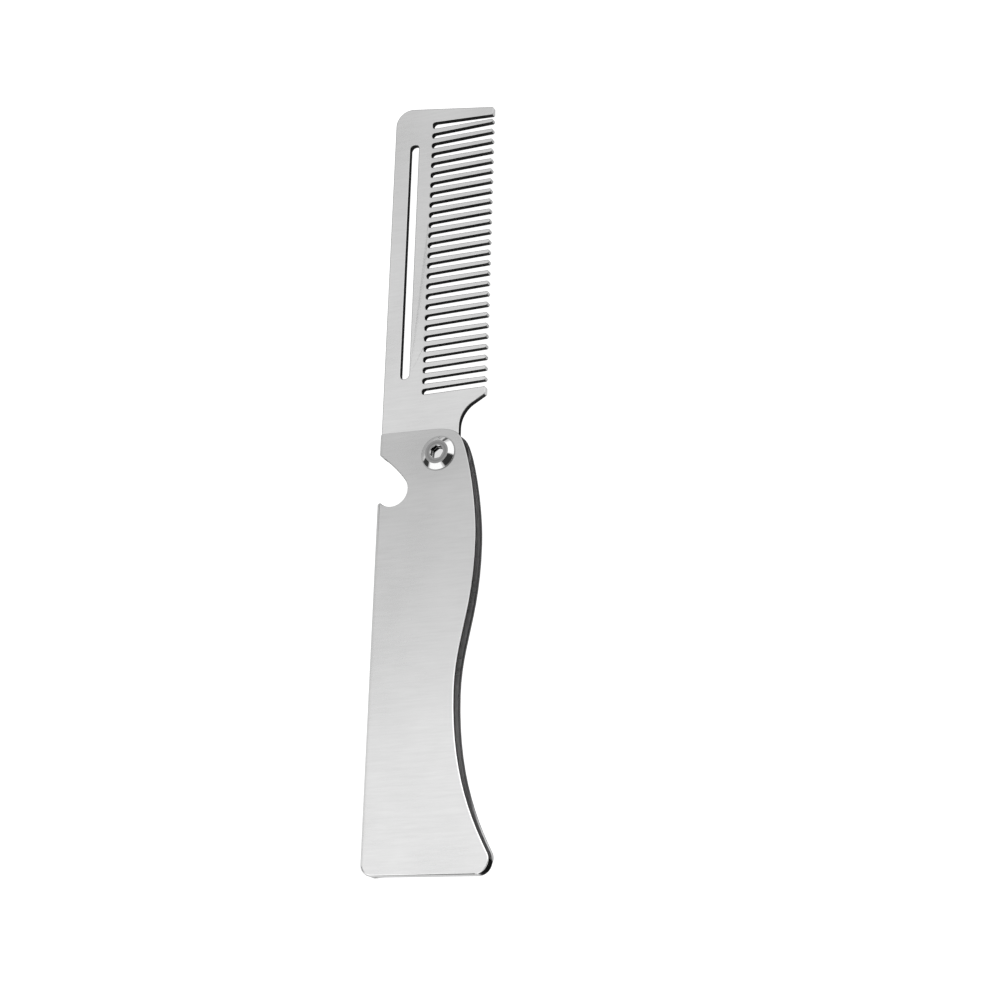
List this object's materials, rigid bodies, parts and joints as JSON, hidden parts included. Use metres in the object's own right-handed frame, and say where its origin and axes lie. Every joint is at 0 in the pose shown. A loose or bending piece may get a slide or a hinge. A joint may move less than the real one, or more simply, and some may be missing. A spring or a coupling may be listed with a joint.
{
  "type": "folding beard comb",
  "caption": "Folding pocket beard comb: flat steel comb blade with a long slot, on a pivot screw in a folded S-shaped sheet handle with a bottle-opener notch.",
  "frame": {"origin": "on the pivot's axis, in the plane of the rear head's flat end, which the comb rests on", "axes": "+Z along the pivot's axis out of the front plate, +Y along the open comb towards the blade's free end, +X towards the side of the teeth"},
  "size_m": [0.0319, 0.2002, 0.0069],
  "materials": {
    "handle_steel": "fine brushed stainless steel, grain across the handle",
    "blade_steel": "fine brushed stainless steel, grain across the blade",
    "pivot_steel": "polished stainless steel",
    "washer_nylon": "natural nylon"
  },
  "bodies": {
    "handle": {"handle_shell": "handle_steel", "pivot_screw": "pivot_steel", "pivot_nut": "pivot_steel", "front_washer": "washer_nylon", "rear_washer": "washer_nylon"},
    "comb": {"comb_blade": "blade_steel"}
  },
  "joints": [
    {"name": "comb_fold", "type": "hinge", "parent": "handle", "child": "comb", "pos_m": [0, 0, 0.00345], "axis": [0, 0, -1], "range_deg": [0, 180]}
  ]
}
